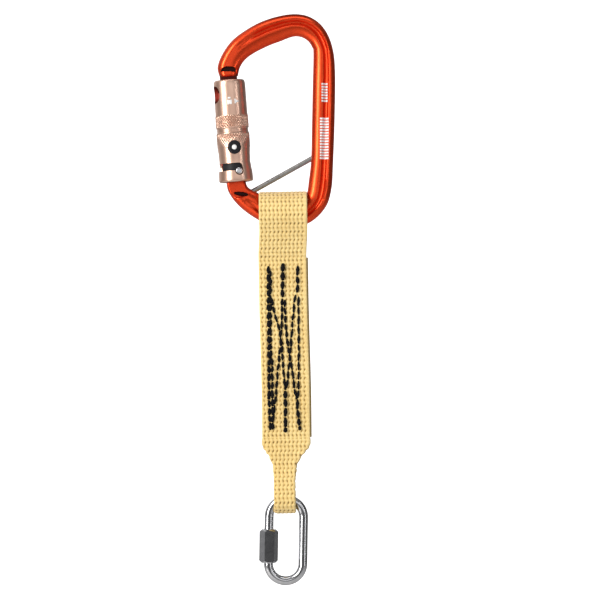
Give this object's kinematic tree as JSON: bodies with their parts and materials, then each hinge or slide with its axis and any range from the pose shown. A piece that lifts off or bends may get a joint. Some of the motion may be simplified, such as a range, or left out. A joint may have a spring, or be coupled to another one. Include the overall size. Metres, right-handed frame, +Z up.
{
  "type": "climbing quickdraw",
  "caption": "Short sewn webbing sling on an auto-locking captive-bar carabiner, with an oval screw quick link at its lower end.",
  "frame": {"origin": "centre of the round seat in the carabiner's top bow, where the anchor sits", "axes": "+Z up along the hanging line, front -Y, +X to the spine side"},
  "size_m": [0.0667, 0.0232, 0.3139],
  "materials": {
    "red_anodised": "satin anodised",
    "rose_anodised": "satin anodised, knurled bands",
    "stainless": "polished stainless",
    "spring_steel": "drawn wire",
    "webbing": "woven aramid",
    "thread": "heavy sewing thread"
  },
  "bodies": {
    "carabiner": {"carabiner_body": "red_anodised", "captive_bar": "stainless"},
    "gate_body": {"gate": "red_anodised", "gate_hinge_pin": "stainless", "guide_pin": "stainless", "gate_spring": "spring_steel", "sleeve_spring": "spring_steel"},
    "plunger": {"gate_plunger": "stainless"},
    "seat": {"spring_seat": "stainless"},
    "sleeve": {"lock_sleeve": "rose_anodised"},
    "sling": {"sling_upper_loop": "webbing", "sling_overlap_ply": "webbing", "stitch_row_left": "thread", "stitch_row_middle": "thread", "stitch_row_right": "thread", "stitch_bow_left": "thread", "stitch_bow_right": "thread"},
    "sling_neck": {"sling_link_loop": "webbing"},
    "quick_link": {"link_body": "stainless"},
    "nut": {"link_nut": "stainless"}
  },
  "joints": [
    {"name": "gate_swing", "type": "hinge", "parent": "carabiner", "child": "gate_body", "pos_m": [-0.0348, 0, -0.06782], "axis": [0, 1, 0], "range_deg": [0, 17], "stiffness_Nm_per_rad": 0.6, "springref_deg": -28.65},
    {"name": "plunger_slide", "type": "slide", "parent": "gate_body", "child": "plunger", "axis": [-0.0715, 0, 0.9974], "range_m": [0, 0.0006], "deforming": ["gate_spring"]},
    {"name": "sleeve_pull", "type": "slide", "parent": "gate_body", "child": "seat", "axis": [-0.0715, 0, 0.9974], "range_m": [-0.0019, 0], "stiffness_N_per_m": 1500, "springref_m": 0.004, "deforming": ["sleeve_spring"]},
    {"name": "sleeve_twist", "type": "hinge", "parent": "seat", "child": "sleeve", "pos_m": [-0.0331, 0, -0.0677], "axis": [-0.0715, 0, 0.9974], "range_deg": [0, 110], "stiffness_Nm_per_rad": 0.04, "springref_deg": -57.3},
    {"name": "sling_swing", "type": "hinge", "parent": "carabiner", "child": "sling", "pos_m": [-0.008, 0, -0.0875], "axis": [0.9998, 0, 0.0175], "range_deg": [-60, 60]},
    {"name": "sling_flex", "type": "hinge", "parent": "sling", "child": "sling_neck", "pos_m": [-0.0058, 0, -0.21348], "axis": [0.9998, 0, 0.0175], "range_deg": [-30, 30]},
    {"name": "link_swing", "type": "hinge", "parent": "sling_neck", "child": "quick_link", "pos_m": [-0.00525, 0, -0.245], "axis": [0.9999, 0, -0.0157], "range_deg": [-75, 75]},
    {"name": "nut_travel", "type": "slide", "parent": "quick_link", "child": "nut", "axis": [0.0157, 0, 0.9999], "range_m": [0, 0.0075]}
  ],
  "couplings": [
    {"joint": "plunger_slide", "follows": "gate_swing", "m_per_rad": 0.0017}
  ]
}
